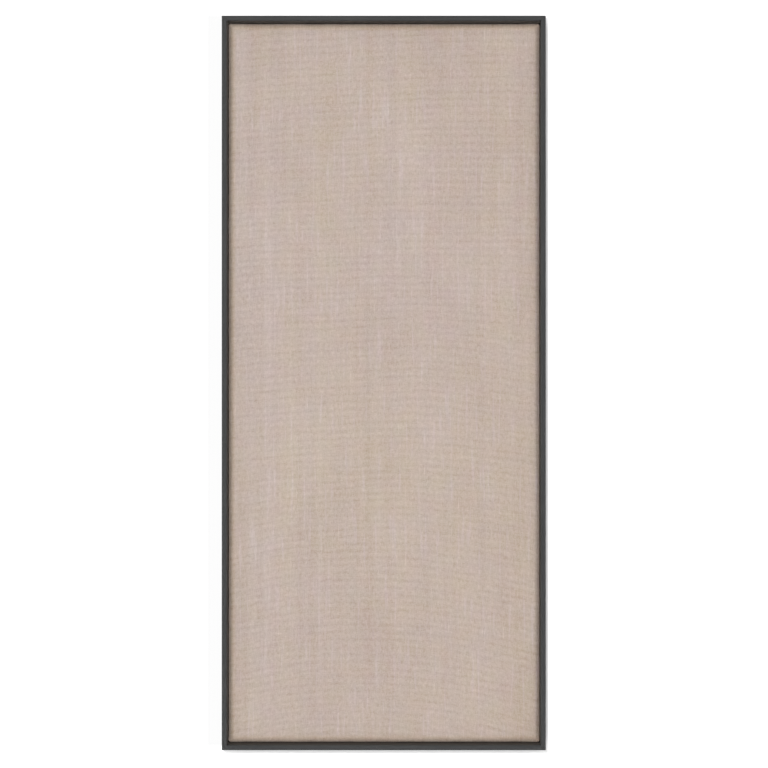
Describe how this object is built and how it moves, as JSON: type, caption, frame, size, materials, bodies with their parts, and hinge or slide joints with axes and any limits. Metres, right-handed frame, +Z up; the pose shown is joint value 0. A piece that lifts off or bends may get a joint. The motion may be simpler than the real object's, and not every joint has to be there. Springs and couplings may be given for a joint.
{
  "type": "pin board",
  "caption": "Tall wall-hung pin board: a fabric-wrapped soft panel set back in a thin mitred wooden tray frame, with keyhole plates behind.",
  "frame": {"origin": "centre of the back board's rear face, which lies in the plane where the board meets the wall", "axes": "seen from the front +X points right and +Z up along the long side; the front faces -Y and the rear +Y"},
  "size_m": [0.45, 0.025, 1.02],
  "materials": {
    "stained_wood": "satin",
    "fabric": "matte",
    "softboard": "matte",
    "hardboard": "satin",
    "zinc_plate": "satin",
    "zinc_screw": "satin",
    "bare_steel": "satin"
  },
  "bodies": {
    "root": {"back_board": "hardboard", "back_screw_rail_bottom_1": "zinc_screw", "back_screw_rail_bottom_2": "zinc_screw", "back_screw_rail_top_1": "zinc_screw", "back_screw_rail_top_2": "zinc_screw", "back_screw_stile_left_1": "zinc_screw", "back_screw_stile_left_2": "zinc_screw", "back_screw_stile_left_3": "zinc_screw", "back_screw_stile_left_4": "zinc_screw", "back_screw_stile_right_1": "zinc_screw", "back_screw_stile_right_2": "zinc_screw", "back_screw_stile_right_3": "zinc_screw", "back_screw_stile_right_4": "zinc_screw", "fabric_cover": "fabric", "hanger_plate_rail_bottom": "zinc_plate", "hanger_plate_rail_top": "zinc_plate", "hanger_plate_stile_left": "zinc_plate", "hanger_plate_stile_right": "zinc_plate", "hanger_screw_rail_bottom_1": "zinc_screw", "hanger_screw_rail_bottom_2": "zinc_screw", "hanger_screw_rail_top_1": "zinc_screw", "hanger_screw_rail_top_2": "zinc_screw", "hanger_screw_stile_left_1": "zinc_screw", "hanger_screw_stile_left_2": "zinc_screw", "hanger_screw_stile_right_1": "zinc_screw", "hanger_screw_stile_right_2": "zinc_screw", "mitre_nail_bottom_left_1": "bare_steel", "mitre_nail_bottom_left_2": "bare_steel", "mitre_nail_bottom_right_1": "bare_steel", "mitre_nail_bottom_right_2": "bare_steel", "mitre_nail_top_left_1": "bare_steel", "mitre_nail_top_left_2": "bare_steel", "mitre_nail_top_right_1": "bare_steel", "mitre_nail_top_right_2": "bare_steel", "panel_screw_rail_bottom_1": "zinc_screw", "panel_screw_rail_bottom_2": "zinc_screw", "panel_screw_rail_top_1": "zinc_screw", "panel_screw_rail_top_2": "zinc_screw", "panel_screw_stile_left_1": "zinc_screw", "panel_screw_stile_left_2": "zinc_screw", "panel_screw_stile_left_3": "zinc_screw", "panel_screw_stile_left_4": "zinc_screw", "panel_screw_stile_right_1": "zinc_screw", "panel_screw_stile_right_2": "zinc_screw", "panel_screw_stile_right_3": "zinc_screw", "panel_screw_stile_right_4": "zinc_screw", "pin_core": "softboard", "rail_bottom": "stained_wood", "rail_top": "stained_wood", "stile_left": "stained_wood", "stile_right": "stained_wood"}
  },
  "joints": []
}
